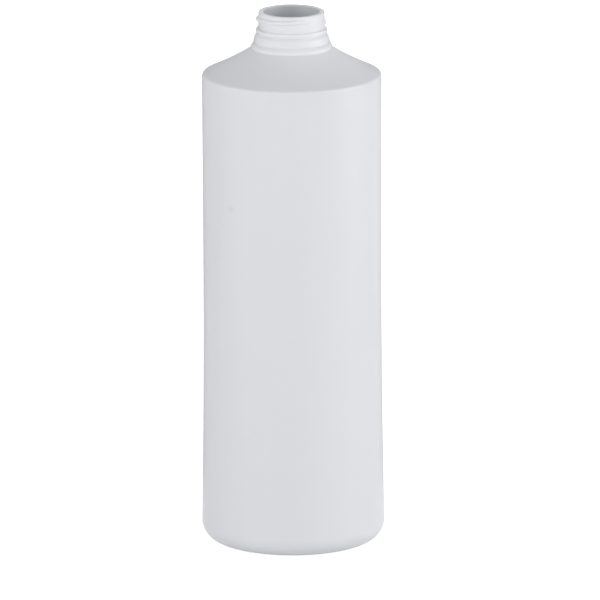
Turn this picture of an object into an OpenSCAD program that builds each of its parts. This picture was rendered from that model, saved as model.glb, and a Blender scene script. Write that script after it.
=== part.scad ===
// Dispenser bottle: one blow-moulded piece of white plastic, without its cap or pump.
// It stands on the plane z = 0 with its axis along Z. All sizes are in millimetres.

/* [Body] */
// Diameter at the shoulder edge
body_d = 81; // [60:0.5:110]
// Height of the shoulder edge above the ground
body_h = 215.2; // [150:0.2:300]
// How far the waist lies inside the shoulder edge, on each side
waist_sink = 0.25; // [0.1:0.05:0.8]
// Height of the waist above the ground
waist_h = 118; // [90:1:140]
// How far the foot stands out past the shoulder edge, on each side
foot_flare = 0.95; // [0.2:0.05:2]
// Radius of the rounded foot
foot_r = 8.2; // [5:0.1:12]

/* [Shoulder] */
// Radius of the edge between the side and the shoulder
edge_r = 1.5; // [1.3:0.1:4]
// Slope of the shoulder at its edge, in degrees from level
shoulder_low_angle = 23.6; // [18:0.2:28]
// Slope of the shoulder where it meets the neck, in degrees from level
shoulder_high_angle = 33.5; // [30:0.5:42]

/* [Neck rings] */
// Diameter of the collar at the foot of the neck
collar_d = 36.6; // [36:0.1:42]
// Height of the collar's upright face
collar_h = 1.4; // [0.8:0.1:3]
// Height of the hollow between the collar and the skirt
lower_groove_h = 1.8; // [1:0.1:3]
// Depth of that hollow under the skirt's lower edge
lower_groove_depth = 0.45; // [0.2:0.05:0.7]
// Diameter of the skirt at its lower edge
skirt_low_d = 34.6; // [34:0.1:36]
// Diameter of the skirt at its upper edge
skirt_high_d = 33.1; // [32.6:0.1:34]
// Height of the skirt
skirt_h = 2.7; // [1.5:0.1:4]
// Height of the hollow between the skirt and the bead
upper_groove_h = 1.5; // [1:0.1:3]
// Depth of that hollow under the bead
upper_groove_depth = 0.6; // [0.2:0.05:0.9]
// Diameter of the bead under the screw thread
bead_d = 32.1; // [31:0.1:33]
// Height of the bead
bead_h = 1.7; // [1.2:0.1:3]
// Radius of the small rounded edges on the rings
ring_edge_r = 0.35; // [0.1:0.05:0.5]

/* [Screw finish] */
// Outside diameter of the neck between the threads
finish_d = 29.8; // [29:0.1:30.6]
// Height of the finish, from the bead up to the rim
finish_h = 7.6; // [7:0.1:12]
// Diameter of the straight bore in the mouth
mouth_d = 25.6; // [22:0.1:26.4]
// Length of the straight bore
bore_l = 8.5; // [5:0.1:10]
// Radius of the rim's two edges
rim_r = 0.4; // [0.2:0.05:0.6]

/* [Thread] */
// Outside diameter over the thread
thread_d = 32.1; // [31.2:0.1:33]
// Rise of the thread in one turn
thread_pitch = 4.23; // [3:0.01:4.6]
// Length of the thread in turns
thread_turns = 0.86; // [0.5:0.01:0.95]
// Width of the thread where it leaves the wall
thread_base_w = 2.2; // [1.6:0.1:2.8]
// Width of the thread at its crest
thread_crest_w = 1.0; // [0.6:0.1:1.4]
// Distance from the rim down to the middle of the thread's upper end
thread_drop = 2; // [1.6:0.1:3]
// Direction of the thread's upper end, in degrees from +X
thread_start = -60; // [-180:5:180]
// Length over which each end of the thread runs out, in degrees
thread_runout = 28; // [10:1:45]

/* [Walls] */
// Thickness of the side and the shoulder
wall_t = 0.9; // [0.7:0.05:1.2]
// Thickness of the base
base_t = 1.6; // [1:0.1:2.5]
// Thickness of the neck at the collar
neck_t = 1.7; // [1.2:0.1:2.5]

/* [Base] */
// Height of the hollow under the base, at its middle
push_up_h = 4; // [2:0.1:8]
// Radius of the inner edge of the ring that the bottle stands on
stand_inner_r = 30.5; // [20:0.5:31]
// Radius of the rounding between that ring and the hollow
stand_edge_r = 4; // [1:0.5:6]
// Length of the weld line across the hollow
weld_l = 44; // [20:1:48]
// Width of the weld line
weld_w = 0.9; // [0.5:0.1:2]
// Height of the weld line
weld_h = 0.5; // [0.2:0.05:0.8]

/* [Hidden] */

$fn = 96;
body_r = body_d / 2;
waist_r = body_r - waist_sink;
foot_out_r = body_r + foot_flare;
collar_r = collar_d / 2;
finish_r = finish_d / 2;
mouth_r = mouth_d / 2;
thread_r = thread_d / 2;

// Steps of each kind of arc
edge_steps = 6;
foot_steps = 14;
wall_steps = 8;
shoulder_steps = 10;
dome_steps = 12;
round_steps = 3;
thread_step_angle = 5;

// How deep a raised line is rooted in the wall that it stands on
root = 0.4;

// Points of an arc round c, from angle a to angle b
function arc(c, r, a, b, n) =
    [for (i = [0 : n]) let (t = a + (b - a) * i / n) c + r * [cos(t), sin(t)]];

// Radius of the long arc that leaves the waist upright and touches a corner's circle,
// where dx and dz lead from the corner's centre to the waist
function long_r(dx, dz, corner_r) = (dx * dx + dz * dz - corner_r * corner_r) / (2 * (corner_r - dx));

// The side from the foot to the shoulder edge, set in by t and with its floor at height f
function foot_c(t, f) = [foot_out_r - t - (foot_r - f), foot_r];
function edge_c() = [body_r - edge_r, body_h];

function side_line(t, f) =
    let (
        waist = [waist_r - t, waist_h],
        foot_in = foot_r - f,
        edge_in = edge_r - t,
        low = waist - foot_c(t, f),
        high = waist - edge_c(),
        low_r = long_r(low.x, low.y, foot_in),
        high_r = long_r(high.x, high.y, edge_in),
        low_a = atan2(low.y, low.x + low_r),
        high_a = atan2(high.y, high.x + high_r)
    )
    concat(
        arc(foot_c(t, f), foot_in, -90, low_a, foot_steps),
        arc(waist + [low_r, 0], low_r, 180 + low_a, 180, wall_steps),
        arc(waist + [high_r, 0], high_r, 180, 180 + high_a, wall_steps),
        arc(edge_c(), edge_in, high_a, 90 - shoulder_low_angle, edge_steps)
    );

// The hollow curve of the shoulder, set in by t, up to the radius r_end
function shoulder_start(t) = edge_c() + (edge_r - t) * [sin(shoulder_low_angle), cos(shoulder_low_angle)];
function shoulder_r(t, r_end) =
    (shoulder_start(t).x - r_end) / (sin(shoulder_high_angle) - sin(shoulder_low_angle));
function shoulder_line(t, r_end) =
    let (
        r = shoulder_r(t, r_end),
        c = shoulder_start(t) + r * [sin(shoulder_low_angle), cos(shoulder_low_angle)]
    )
    arc(c, r, 270 - shoulder_low_angle, 270 - shoulder_high_angle, shoulder_steps);
function line_end(line) = line[len(line) - 1];

// Heights up the neck
collar_foot_z = line_end(shoulder_line(0, collar_r)).y;
collar_top_z = collar_foot_z + collar_h;
skirt_foot_z = collar_top_z + lower_groove_h;
skirt_top_z = skirt_foot_z + skirt_h;
bead_foot_z = skirt_top_z + upper_groove_h;
bead_top_z = bead_foot_z + bead_h;
rim_z = bead_top_z + finish_h;

// Outside of the neck, from the collar to the rim
function ring_top(r, z) = arc([r - ring_edge_r, z - ring_edge_r], ring_edge_r, 0, 90, round_steps);
function ring_foot(r, z) = arc([r - ring_edge_r, z + ring_edge_r], ring_edge_r, -90, 0, round_steps);
function neck_line() =
    let (
        skirt_low_r = skirt_low_d / 2,
        skirt_high_r = skirt_high_d / 2,
        bead_r = bead_d / 2
    )
    concat(
        ring_top(collar_r, collar_top_z),
        [[skirt_low_r - lower_groove_depth, skirt_foot_z - ring_edge_r]],
        ring_foot(skirt_low_r, skirt_foot_z),
        ring_top(skirt_high_r, skirt_top_z),
        [[bead_r - upper_groove_depth, bead_foot_z - ring_edge_r]],
        ring_foot(bead_r, bead_foot_z),
        ring_top(bead_r, bead_top_z),
        [[finish_r, bead_top_z]],
        arc([finish_r - rim_r, rim_z - rim_r], rim_r, 0, 90, round_steps)
    );

// The curve of the hollow under the base, raised by t, from the standing ring to the axis.
// Its dome touches the rounding beside the ring.
dome_r = (stand_inner_r * stand_inner_r + push_up_h * push_up_h - 2 * stand_edge_r * push_up_h)
    / (2 * push_up_h);
dome_c = [0, push_up_h - dome_r];
dome_edge_a = asin(stand_inner_r / (dome_r + stand_edge_r));
function base_line(t) =
    concat(
        arc([stand_inner_r, stand_edge_r], stand_edge_r - t, 270, 270 - dome_edge_a, round_steps),
        arc(dome_c, dome_r + t, 90 - dome_edge_a, 90, dome_steps)
    );

function reversed(line) = [for (i = [len(line) - 1 : -1 : 0]) line[i]];

// Outer outline from the middle of the base to the rim, and inner outline back down
function outer_line() =
    concat(reversed(base_line(0)), side_line(0, 0), shoulder_line(0, collar_r), neck_line());
function inner_line() =
    concat(
        arc([mouth_r + rim_r, rim_z - rim_r], rim_r, 90, 180, round_steps),
        [[mouth_r, rim_z - bore_l]],
        reversed(shoulder_line(wall_t, collar_r - neck_t)),
        reversed(side_line(wall_t, base_t)),
        base_line(base_t)
    );

module shell() {
    rotate_extrude() polygon(concat(outer_line(), inner_line()));
}

// Height of the thread's crest along its length, from 0 at an end to 1
function runout(a) =
    let (end_a = thread_turns * 360, t = min(a, end_a - a, thread_runout) / thread_runout)
    sin(90 * t);

// One section of the winding ridge, from its lower to its upper foot, at a degrees from its upper end.
// The feet are rooted in the wall, and each end of the crest sinks just below the wall's surface.
function thread_ring(a) =
    let (
        turn = thread_start - a,
        z = rim_z - thread_drop - thread_pitch * a / 360,
        rooted_r = finish_r - root,
        sunk_r = finish_r - root / 2,
        crest_r = sunk_r + (thread_r - sunk_r) * runout(a)
    )
    [for (p = [
        [rooted_r, -thread_base_w / 2], [crest_r, -thread_crest_w / 2],
        [crest_r, thread_crest_w / 2], [rooted_r, thread_base_w / 2]
    ]) [p.x * cos(turn), p.x * sin(turn), z + p.y]];

module thread() {
    steps = ceil(thread_turns * 360 / thread_step_angle);
    rings = [for (i = [0 : steps]) thread_ring(i * thread_turns * 360 / steps)];
    side_faces = [for (i = [0 : steps - 1], k = [0 : 3])
        let (a = 4 * i + k, b = 4 * i + (k + 1) % 4) each [[a, b, b + 4], [a, b + 4, a + 4]]];
    end_faces = [[3, 2, 1, 0], [for (k = [0 : 3]) 4 * steps + k]];
    polyhedron([for (ring = rings) each ring], concat(side_faces, end_faces));
}

// The raised line across the hollow of the base where the mould pinched the tube shut
module weld_line() {
    low = base_line(-weld_h);
    high = base_line(root);
    intersection() {
        rotate_extrude() polygon(concat(low, reversed(high)));
        cube([weld_l, weld_w, 2 * (push_up_h + base_t)], center = true);
    }
}

module bottle() {
    color("white") {
        shell();
        thread();
        weld_line();
    }
}

bottle();
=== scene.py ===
import math

import bmesh
import bpy
from mathutils import Matrix, Vector


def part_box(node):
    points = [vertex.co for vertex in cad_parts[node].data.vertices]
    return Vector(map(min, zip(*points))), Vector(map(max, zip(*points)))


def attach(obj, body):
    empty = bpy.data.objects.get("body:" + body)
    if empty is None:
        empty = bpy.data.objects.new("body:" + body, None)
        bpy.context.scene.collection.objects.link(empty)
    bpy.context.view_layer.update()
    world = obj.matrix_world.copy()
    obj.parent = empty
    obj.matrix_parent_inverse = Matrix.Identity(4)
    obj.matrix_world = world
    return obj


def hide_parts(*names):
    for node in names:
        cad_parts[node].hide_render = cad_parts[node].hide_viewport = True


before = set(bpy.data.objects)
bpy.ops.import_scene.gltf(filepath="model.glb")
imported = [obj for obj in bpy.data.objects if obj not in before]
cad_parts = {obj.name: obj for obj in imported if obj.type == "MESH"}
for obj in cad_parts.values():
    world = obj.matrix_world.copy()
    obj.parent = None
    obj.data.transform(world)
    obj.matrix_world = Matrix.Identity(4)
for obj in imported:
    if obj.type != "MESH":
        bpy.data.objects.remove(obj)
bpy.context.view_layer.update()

mm = 0.001
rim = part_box("bottle")[1].z / mm  # height of the mouth's rim
print("frame loaded:", ", ".join(sorted(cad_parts)))

# Bottle, all sizes in millimetres, angles in degrees
bottle = {
    "bodyRadius": 40.5,
    "edgeHeight": 215.2,  # where the side turns into the shoulder
    "edgeRound": 1.5,
    "waistSink": 0.25,
    "waistHeight": 118,
    "footFlare": 0.95,
    "footRound": 8.2,
    "lowSlope": 23.6,  # shoulder at its edge, from level
    "highSlope": 33.5,  # shoulder at the neck
    "wall": 0.9,
    "baseWall": 1.6,
    "neckWall": 1.7,
    "hollowHeight": 4,  # under the base
    "ringInner": 30.5,
    "ringRound": 4,
    "turnSteps": 240,
    "footSteps": 18,  # steps of each kind of arc
    "sideSteps": 12,
    "edgeSteps": 8,
    "shoulderSteps": 16,
    "ringSteps": 4,
    "domeSteps": 16,
}

neck = {
    "collarRadius": 18.3,
    "collarHeight": 1.4,
    "lowGroove": 1.8,
    "lowGrooveDepth": 0.45,
    "skirtLowRadius": 17.3,
    "skirtHighRadius": 16.55,
    "skirtHeight": 2.7,
    "highGroove": 1.5,
    "highGrooveDepth": 0.6,
    "beadRadius": 16.05,
    "beadHeight": 1.7,
    "finishRadius": 14.9,
    "boreRadius": 12.8,
    "boreLength": 8.5,
    "ringEdge": 0.35,  # how far the rings' edges are cut back
    "creaseEdge": 0.25,  # the same for the creases between them
    "rimEdge": 0.4,
    "cornerSteps": 4,
    "wallRows": 60,  # rows that carry the thread
}

thread = {
    "radius": 16.05,
    "pitch": 4.23,
    "turns": 0.86,
    "footWidth": 2.2,
    "crestWidth": 1.0,
    "drop": 2,  # from the rim to the middle of its upper end
    "start": -60,  # direction of the upper end, from +X
    "runOut": 28,
}

mouldMarks = {
    "seamFoot": 0.24,  # half widths of the parting line on both sides
    "seamCrest": 0.08,
    "seamHeight": 0.11,
    "seamFacets": 1.5,  # facets beside it that may be cut
    "weldFoot": 0.5,  # half widths of the pinched line under the base
    "weldCrest": 0.22,
    "weldHeight": 0.5,
    "weldReach": 22,
    "weldFade": 4,
    "weldNear": 2,  # faces this close to it may be cut
}

tolerance = {
    "merge": 0.0005,
    "surface": 0.01,  # how close to the neck's wall a point counts as on it
    "outwards": 0.1,  # least part of a normal that points away from the axis, on the outside
    "downwards": 0.5,  # least part of a normal that points down, under the base
}


def arcPoints(centre, radius, start, end, steps):
    angles = [math.radians(start + (end - start) * i / steps) for i in range(steps + 1)]
    return [centre + radius * Vector((math.cos(a), math.sin(a))) for a in angles]


def longRadius(reach, cornerRadius):
    # Radius of the long arc that leaves the waist upright and touches a corner's circle
    return (reach.length_squared - cornerRadius ** 2) / (2 * (cornerRadius - reach.x))


def sideOutline(inset, floor):
    waist = Vector((bottle["bodyRadius"] - bottle["waistSink"] - inset, bottle["waistHeight"]))
    footRound = bottle["footRound"] - floor
    footOut = bottle["bodyRadius"] + bottle["footFlare"] - inset
    foot = Vector((footOut - footRound, bottle["footRound"]))
    edge = Vector((bottle["bodyRadius"] - bottle["edgeRound"], bottle["edgeHeight"]))
    edgeRound = bottle["edgeRound"] - inset
    low, high = waist - foot, waist - edge
    lowRadius, highRadius = longRadius(low, footRound), longRadius(high, edgeRound)
    lowAngle = math.degrees(math.atan2(low.y, low.x + lowRadius))
    highAngle = math.degrees(math.atan2(high.y, high.x + highRadius))
    lowCentre, highCentre = waist + Vector((lowRadius, 0)), waist + Vector((highRadius, 0))
    return (
        arcPoints(foot, footRound, -90, lowAngle, bottle["footSteps"])
        + arcPoints(lowCentre, lowRadius, 180 + lowAngle, 180, bottle["sideSteps"])[1:]
        + arcPoints(highCentre, highRadius, 180, 180 + highAngle, bottle["sideSteps"])[1:]
        + arcPoints(edge, edgeRound, highAngle, 90 - bottle["lowSlope"], bottle["edgeSteps"])[1:]
    )


def shoulderOutline(inset, endRadius):
    low, high = math.radians(bottle["lowSlope"]), math.radians(bottle["highSlope"])
    edge = Vector((bottle["bodyRadius"] - bottle["edgeRound"], bottle["edgeHeight"]))
    outwards = Vector((math.sin(low), math.cos(low)))
    start = edge + (bottle["edgeRound"] - inset) * outwards
    radius = (start.x - endRadius) / (math.sin(high) - math.sin(low))
    return arcPoints(
        start + radius * outwards, radius, 270 - bottle["lowSlope"], 270 - bottle["highSlope"],
        bottle["shoulderSteps"],
    )


def baseOutline(inset):
    # From the standing ring over the rounding beside it to the middle of the hollow
    ring, rise, rounding = bottle["ringInner"], bottle["hollowHeight"], bottle["ringRound"]
    domeRadius = (ring ** 2 + rise ** 2 - 2 * rounding * rise) / (2 * rise)
    edge = math.degrees(math.asin(ring / (domeRadius + rounding)))
    domeCentre = Vector((0, rise - domeRadius))
    dome = arcPoints(domeCentre, domeRadius + inset, 90 - edge, 90, bottle["domeSteps"])
    dome[-1].x = 0
    ringCentre = Vector((ring, rounding))
    return arcPoints(ringCentre, rounding - inset, 270, 270 - edge, bottle["ringSteps"]) + dome[1:]


def neckHeights():
    collarFoot = shoulderOutline(0, neck["collarRadius"])[-1].y
    collarTop = collarFoot + neck["collarHeight"]
    skirtFoot = collarTop + neck["lowGroove"]
    skirtTop = skirtFoot + neck["skirtHeight"]
    beadFoot = skirtTop + neck["highGroove"]
    beadTop = beadFoot + neck["beadHeight"]
    return collarTop, skirtFoot, skirtTop, beadFoot, beadTop


def neckCorners():
    # Each corner of the neck's outline, with how far it is cut back
    collarTop, skirtFoot, skirtTop, beadFoot, beadTop = neckHeights()
    edge, crease = neck["ringEdge"], neck["creaseEdge"]
    finish = neck["finishRadius"]
    collarFoot = shoulderOutline(0, neck["collarRadius"])[-1]
    wallFoot, wallHead = beadTop + crease, rim - neck["rimEdge"]
    rows = neck["wallRows"]
    wall = [(finish, wallFoot + (wallHead - wallFoot) * i / rows, 0) for i in range(1, rows)]
    return [
        (*collarFoot, crease),
        (neck["collarRadius"], collarTop, edge),
        (neck["skirtLowRadius"] - neck["lowGrooveDepth"], skirtFoot - edge, crease),
        (neck["skirtLowRadius"], skirtFoot, edge),
        (neck["skirtHighRadius"], skirtTop, edge),
        (neck["beadRadius"] - neck["highGrooveDepth"], beadFoot - edge, crease),
        (neck["beadRadius"], beadFoot, edge),
        (neck["beadRadius"], beadTop, edge),
        (finish, beadTop, crease),
        *wall,
        (finish, rim, neck["rimEdge"]),
        (neck["boreRadius"], rim, neck["rimEdge"]),
        (neck["boreRadius"], rim - neck["boreLength"], crease),
    ]


def smooth(x):
    x = min(max(x, 0), 1)
    return x * x * (3 - 2 * x)


def threadLift(angle, height):
    # How far the thread stands out of the neck's wall there
    along = (thread["start"] - angle) % 360
    end = thread["turns"] * 360
    if along > end:
        return 0
    runOut = math.sin(math.pi / 2 * min(along, end - along, thread["runOut"]) / thread["runOut"])
    middle = rim - thread["drop"] - thread["pitch"] * along / 360
    foot, crest = thread["footWidth"] / 2, thread["crestWidth"] / 2
    flank = smooth((foot - abs(height - middle)) / (foot - crest))
    return (thread["radius"] - neck["finishRadius"]) * runOut * flank


def uncut(points):
    return [(*point, 0) for point in points]


def spunShell():
    # The whole outline, up the outside and down the inside, turned round the axis
    throat = neck["collarRadius"] - bottle["neckWall"]
    outline = (
        uncut(reversed(baseOutline(0)))
        + uncut(sideOutline(0, 0))
        + uncut(shoulderOutline(0, neck["collarRadius"])[1:-1])
        + neckCorners()
        + uncut(reversed(shoulderOutline(bottle["wall"], throat)))
        + uncut(reversed(sideOutline(bottle["wall"], bottle["baseWall"])[:-1]))
        + uncut(baseOutline(bottle["baseWall"]))
    )
    bm = bmesh.new()
    verts = [bm.verts.new((r, 0, z)) for r, z, cut in outline]
    for pair in zip(verts, verts[1:]):
        bm.edges.new(pair)
    for cut in sorted({corner[2] for corner in outline} - {0}):
        corners = [v for v, corner in zip(verts, outline) if corner[2] == cut]
        bmesh.ops.bevel(
            bm, geom=corners, offset=cut, segments=neck["cornerSteps"], profile=0.5,
            affect="VERTICES", material=-1,
        )
    bmesh.ops.remove_doubles(bm, verts=bm.verts, dist=tolerance["merge"])
    bmesh.ops.spin(
        bm, geom=bm.verts[:] + bm.edges[:], cent=(0, 0, 0), axis=(0, 0, 1), angle=2 * math.pi,
        steps=bottle["turnSteps"], use_merge=True,
    )
    bmesh.ops.remove_doubles(bm, verts=bm.verts, dist=tolerance["merge"])  # closes the poles
    bmesh.ops.recalc_face_normals(bm, faces=bm.faces)
    return bm


def raiseThread(bm):
    beadTop = neckHeights()[-1]
    for vert in bm.verts:
        radius = vert.co.xy.length
        onWall = abs(radius - neck["finishRadius"]) < tolerance["surface"]
        if onWall and beadTop < vert.co.z < rim:
            lift = threadLift(math.degrees(math.atan2(vert.co.y, vert.co.x)), vert.co.z)
            vert.co.xy *= (radius + lift) / radius


def cutRows(bm, faces, offsets):
    # Splits these faces along planes that run beside the mould's parting plane
    for offset in offsets:
        geometry = set(faces)
        for face in faces:
            geometry.update(face.edges)
            geometry.update(face.verts)
        cut = bmesh.ops.bisect_plane(
            bm, geom=list(geometry), dist=tolerance["merge"],
            plane_co=(0, offset, 0), plane_no=(0, 1, 0),
        )
        faces = [f for f in cut["geom"] if isinstance(f, bmesh.types.BMFace)]


def bothSides(*widths):
    return [side * width for width in widths for side in (-1, 1)]


def facesOutwards(element, place):
    return element.normal.xy.dot(place.xy.normalized()) > tolerance["outwards"]


def raiseSeam(bm):
    bm.normal_update()
    facet = bottle["bodyRadius"] * math.radians(360 / bottle["turnSteps"])
    near = facet * mouldMarks["seamFacets"]
    sides = []
    for face in bm.faces:
        middle = face.calc_center_median()
        if abs(middle.y) < near and facesOutwards(face, middle):
            sides.append(face)
    foot, crest = mouldMarks["seamFoot"], mouldMarks["seamCrest"]
    cutRows(bm, sides, bothSides(foot, crest))
    bm.normal_update()
    footOut = bottle["bodyRadius"] + bottle["footFlare"]
    for vert in bm.verts:
        radius = vert.co.xy.length
        if abs(vert.co.y) < foot and facesOutwards(vert, vert.co):
            lift = mouldMarks["seamHeight"] * smooth((foot - abs(vert.co.y)) / (foot - crest))
            vert.co.xy *= min(radius + lift, max(radius, footOut)) / radius  # not past the foot


def isUnderBase(element, place):
    low = place.z < bottle["hollowHeight"] + mouldMarks["weldHeight"]
    facesDown = element.normal.z < -tolerance["downwards"]
    return low and facesDown and place.xy.length < bottle["ringInner"]


def raiseWeld(bm):
    bm.normal_update()
    foot, crest = mouldMarks["weldFoot"], mouldMarks["weldCrest"]
    under = []
    for face in bm.faces:
        middle = face.calc_center_median()
        if isUnderBase(face, middle) and abs(middle.y) < mouldMarks["weldNear"]:
            under.append(face)
    cutRows(bm, under, bothSides(foot, crest))
    bm.normal_update()
    for vert in bm.verts:
        if isUnderBase(vert, vert.co):
            across = smooth((foot - abs(vert.co.y)) / (foot - crest))
            along = smooth((mouldMarks["weldReach"] - abs(vert.co.x)) / mouldMarks["weldFade"])
            vert.co.z -= mouldMarks["weldHeight"] * across * along


def objectFrom(bm, name, material):
    mesh = bpy.data.meshes.new(name)
    bm.to_mesh(mesh)
    bm.free()
    mesh.materials.append(material)
    piece = bpy.data.objects.new(name, mesh)
    bpy.context.scene.collection.objects.link(piece)
    return piece


def makeBottle(material):
    bm = spunShell()
    raiseThread(bm)
    raiseSeam(bm)
    raiseWeld(bm)
    for face in bm.faces:
        face.smooth = True
    bmesh.ops.scale(bm, vec=(mm, mm, mm), verts=bm.verts)
    piece = objectFrom(bm, "moulded_bottle", material)
    shading = piece.modifiers.new("even shading", "WEIGHTED_NORMAL")
    shading.keep_sharp = True
    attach(piece, "root")
    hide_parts("bottle")


class Wire:
    # One output in a node tree, so that shader maths reads as plain sums

    def __init__(self, finish, socket):
        self.finish, self.socket = finish, socket

    def maths(self, operation, *values):
        return self.finish.node(
            "ShaderNodeMath", {"operation": operation}, dict(enumerate(values))
        )

    def __add__(self, other):
        return self.maths("ADD", self, other)

    def __mul__(self, other):
        return self.maths("MULTIPLY", self, other)

    __radd__, __rmul__ = __add__, __mul__


class Finish:
    # A material or world whose nodes are added one by one

    def __init__(self, owner):
        owner.use_nodes = True
        self.owner, self.tree = owner, owner.node_tree
        self.tree.nodes.clear()

    def node(self, kind, settings, inputs, output=0):
        node = self.tree.nodes.new(kind)
        for name, value in settings.items():
            setattr(node, name, value)
        for name, value in inputs.items():
            if isinstance(value, Wire):
                self.tree.links.new(value.socket, node.inputs[name])
            else:
                node.inputs[name].default_value = value
        return Wire(self, node.outputs[output]) if node.outputs else None

    def blend(self, share, first, second):
        # A Mix node's colour and number sockets share their names, so they go by place
        return self.node("ShaderNodeMix", {"data_type": "RGBA"}, {0: share, 6: first, 7: second}, 2)


# White polyethylene. Depths, places and reaches are in metres, and scales are per metre
plastic = {
    "colour": (0.80, 0.808, 0.838, 1),
    "thinColour": (0.775, 0.785, 0.822, 1),  # where the wall came out thinner
    "roughness": 0.42,
    "roughnessSpread": 0.10,
    "grainScale": 1900,  # the mould's fine blasted texture
    "grainDetail": 2,
    "grainDepth": 0.000012,
    "streakScale": 260,  # die lines that run up the bottle
    "streakDetail": 3,
    "streakStretch": 0.02,
    "streakDepth": 0.000015,
    "streakShare": 0.5,  # of the colour's unevenness, the rest is cloudy
    "cloudScale": 22,
    "cloudDetail": 2,
    "smudge": (-0.0274, -0.0296, 0.1603),  # a faint grey mark on the left of the front
    "smudgeSize": 0.0024,
    "smudgeColour": (0.73, 0.738, 0.768, 1),
    "smudgeRoughness": 0.1,  # added to the rest
    "ior": 1.5,
    "subsurface": 0.22,  # part of the light that goes into the wall
    "subsurfaceReach": 0.004,
    "subsurfaceSpread": (1, 1, 1),  # red, green and blue alike
}


def plasticMaterial():
    finish = Finish(bpy.data.materials.new("white_polyethylene"))
    place = finish.node("ShaderNodeTexCoord", {}, {}, "Object")
    tall = finish.node(
        "ShaderNodeMapping", {}, {"Vector": place, "Scale": (1, 1, plastic["streakStretch"])}
    )

    def noise(vector, name):
        inputs = {"Vector": vector, "Scale": plastic[name + "Scale"], "Detail": plastic[name + "Detail"]}
        return finish.node("ShaderNodeTexNoise", {}, inputs)

    grain, streaks, clouds = noise(place, "grain"), noise(tall, "streak"), noise(place, "cloud")
    away = finish.node(
        "ShaderNodeVectorMath", {"operation": "DISTANCE"}, {0: place, 1: plastic["smudge"]}, "Value"
    )
    smudge = finish.node(
        "ShaderNodeMapRange", {"interpolation_type": "SMOOTHSTEP"},
        {"Value": away, "From Min": 0, "From Max": plastic["smudgeSize"], "To Min": 1, "To Max": 0},
    )
    thin = streaks * plastic["streakShare"] + clouds * (1 - plastic["streakShare"])
    colour = finish.blend(thin, plastic["colour"], plastic["thinColour"])
    height = grain * plastic["grainDepth"] + streaks * plastic["streakDepth"]  # in metres
    bump = finish.node("ShaderNodeBump", {}, {"Height": height, "Distance": 1, "Strength": 1})
    spread = plastic["roughnessSpread"]
    roughness = clouds * spread + (plastic["roughness"] - spread / 2)
    surface = finish.node(
        "ShaderNodeBsdfPrincipled", {},
        {
            "Base Color": finish.blend(smudge, colour, plastic["smudgeColour"]),
            "Roughness": roughness + smudge * plastic["smudgeRoughness"],
            "Normal": bump,
            "IOR": plastic["ior"],
            "Subsurface Weight": plastic["subsurface"],
            "Subsurface Radius": plastic["subsurfaceSpread"],
            "Subsurface Scale": plastic["subsurfaceReach"],
        },
    )
    finish.node("ShaderNodeOutputMaterial", {}, {"Surface": surface})
    return finish.owner


floor = {
    "size": 8.0,  # in metres, each way
    "colour": (0.66, 0.66, 0.66, 1),
    "glow": 0.85,  # of the white that the camera sees, the rest takes shadow
    "shadeColour": (0.48, 0.48, 0.48, 1),
}


def seenDirectly(finish):
    # 1 for what the camera, or a mirror or glass, looks at
    rays = ("Is Camera Ray", "Is Glossy Ray", "Is Transmission Ray")
    camera, mirrored, through = (finish.node("ShaderNodeLightPath", {}, {}, ray) for ray in rays)
    return finish.node("ShaderNodeClamp", {}, {"Value": camera + mirrored + through})


def floorMaterial():
    finish = Finish(bpy.data.materials.new("studio_floor"))
    glow = finish.node("ShaderNodeEmission", {}, {"Strength": floor["glow"]})
    shade = finish.node("ShaderNodeBsdfDiffuse", {}, {"Color": floor["shadeColour"]})
    shown = finish.node("ShaderNodeAddShader", {}, {0: glow, 1: shade})
    bounce = finish.node("ShaderNodeBsdfDiffuse", {}, {"Color": floor["colour"]})
    mixed = finish.node("ShaderNodeMixShader", {}, {0: seenDirectly(finish), 1: bounce, 2: shown})
    finish.node("ShaderNodeOutputMaterial", {}, {"Surface": mixed})
    return finish.owner


def stageSheet(name, width, depth, turn, place, material):
    # A flat sheet, turned about X and then put in its place
    bm = bmesh.new()
    bmesh.ops.create_grid(bm, x_segments=1, y_segments=1, size=0.5)  # one metre square
    bmesh.ops.scale(bm, vec=(width, depth, 1), verts=bm.verts)
    bmesh.ops.rotate(bm, cent=(0, 0, 0), matrix=Matrix.Rotation(turn, 3, "X"), verts=bm.verts)
    bmesh.ops.translate(bm, vec=place, verts=bm.verts)
    piece = objectFrom(bm, name, material)
    return piece


def makeFloor():
    stageSheet("studio_floor", floor["size"], floor["size"], 0, (0, 0, 0), floorMaterial())


# A dark card close behind the bottle, in metres, which only its gloss shows, as a thin dark outline
card = {
    "away": 0.09,
    "width": 0.17,
    "height": 0.24,
    "colour": (0.12, 0.12, 0.12, 1),
}


def makeCard():
    finish = Finish(bpy.data.materials.new("dark_card"))
    surface = finish.node("ShaderNodeBsdfDiffuse", {}, {"Color": card["colour"]})
    finish.node("ShaderNodeOutputMaterial", {}, {"Surface": surface})
    place = (0, card["away"], card["height"] / 2)
    piece = stageSheet(
        "dark_card", card["width"], card["height"], math.pi / 2, place, finish.owner
    )
    piece.visible_camera = False
    piece.visible_diffuse = False
    piece.visible_transmission = False
    piece.visible_shadow = False


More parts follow.
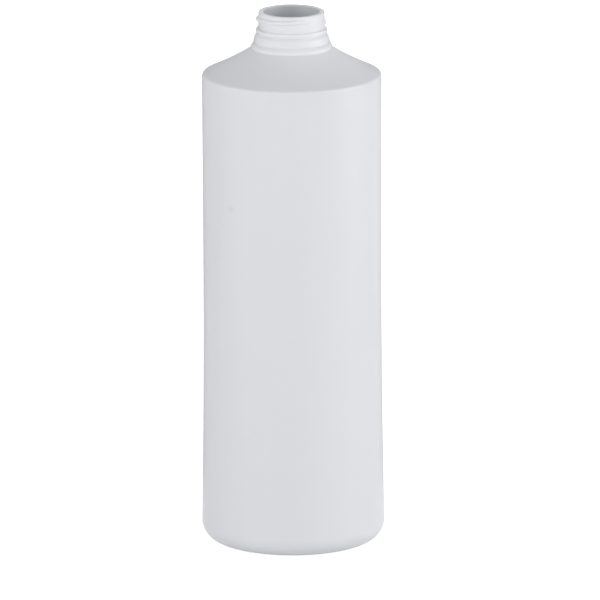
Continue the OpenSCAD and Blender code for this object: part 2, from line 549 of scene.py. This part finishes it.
# Softboxes. side is degrees to the right of the camera's direction, sizes are in metres, power in watts
lamps = {
    "farLeft": {"side": -78, "away": 1.4, "height": 0.35, "width": 0.7, "tall": 1.2, "power": 4.2},
    "left": {"side": -35, "away": 1.4, "height": 0.35, "width": 0.6, "tall": 1.2, "power": 5.7},
    "right": {"side": 84, "away": 1.4, "height": 0.35, "width": 0.8, "tall": 1.2, "power": 12.3},
    "low": {"side": 4, "away": 1.6, "height": 0.18, "width": 1.6, "tall": 0.3, "power": 7.1},
    "top": {"side": 0, "away": 0.3, "height": 1.5, "width": 1.0, "tall": 1.0, "power": 2.9},
    "back": {"side": 180, "away": 1.6, "height": 0.6, "width": 0.5, "tall": 1.0, "power": 12.0},
}
withoutShine = {"back"}  # its highlight would turn the rim white


def makeLamps():
    target = Vector((0, 0, rim * mm / 2))
    for name, lamp in lamps.items():
        light = bpy.data.lights.new(name, "AREA")
        light.shape = "RECTANGLE"
        light.size, light.size_y = lamp["width"], lamp["tall"]
        light.energy = lamp["power"]
        softbox = bpy.data.objects.new(name, light)
        side = math.radians(lamp["side"])
        softbox.location = (
            lamp["away"] * math.sin(side), -lamp["away"] * math.cos(side), lamp["height"]
        )
        softbox.rotation_euler = (target - softbox.location).to_track_quat("-Z", "Y").to_euler()
        softbox.visible_camera = False
        softbox.visible_glossy = name not in withoutShine
        bpy.context.scene.collection.objects.link(softbox)


# How bright the surroundings are
world = {
    "ambient": 0.264,  # to the light on the bottle
    "shine": 0.8,  # to gloss, and the camera sees white
}


def makeWorld():
    finish = Finish(bpy.data.worlds.new("studio"))
    fromCamera = finish.node("ShaderNodeLightPath", {}, {}, "Is Camera Ray")
    shine = seenDirectly(finish) * (world["shine"] - world["ambient"])
    level = shine + fromCamera * (1 - world["shine"]) + world["ambient"]
    sky = finish.node("ShaderNodeBackground", {}, {"Color": (1, 1, 1, 1), "Strength": level})
    finish.node("ShaderNodeOutputWorld", {}, {"Surface": sky})
    bpy.context.scene.world = finish.owner


# Where the photograph was taken from, in metres and degrees
view = {
    "distance": 4.86,
    "height": 1.3063,
    "aside": 0.0034,
    "tilt": 13.821,
    "roll": -0.2,
    "lens": 661.98,  # in millimetres, as is the sensor's width
    "sensor": 36,
    "clipEnd": 50,
}


def makeCamera():
    camera = bpy.data.cameras.new("camera")
    camera.sensor_width = view["sensor"]
    camera.lens = view["lens"]
    camera.clip_end = view["clipEnd"]
    stand = bpy.data.objects.new("camera", camera)
    bpy.context.scene.collection.objects.link(stand)
    place = Matrix.Translation((view["aside"], -view["distance"], view["height"]))
    tilt = Matrix.Rotation(math.radians(90 - view["tilt"]), 4, "X")
    stand.matrix_world = place @ tilt @ Matrix.Rotation(math.radians(view["roll"]), 4, "Z")
    bpy.context.scene.camera = stand


makeCamera()
makeBottle(plasticMaterial())
print("bottle made")
makeFloor()
makeCard()
makeLamps()
makeWorld()
bpy.context.scene.view_settings.view_transform = "Standard"
print("studio made")
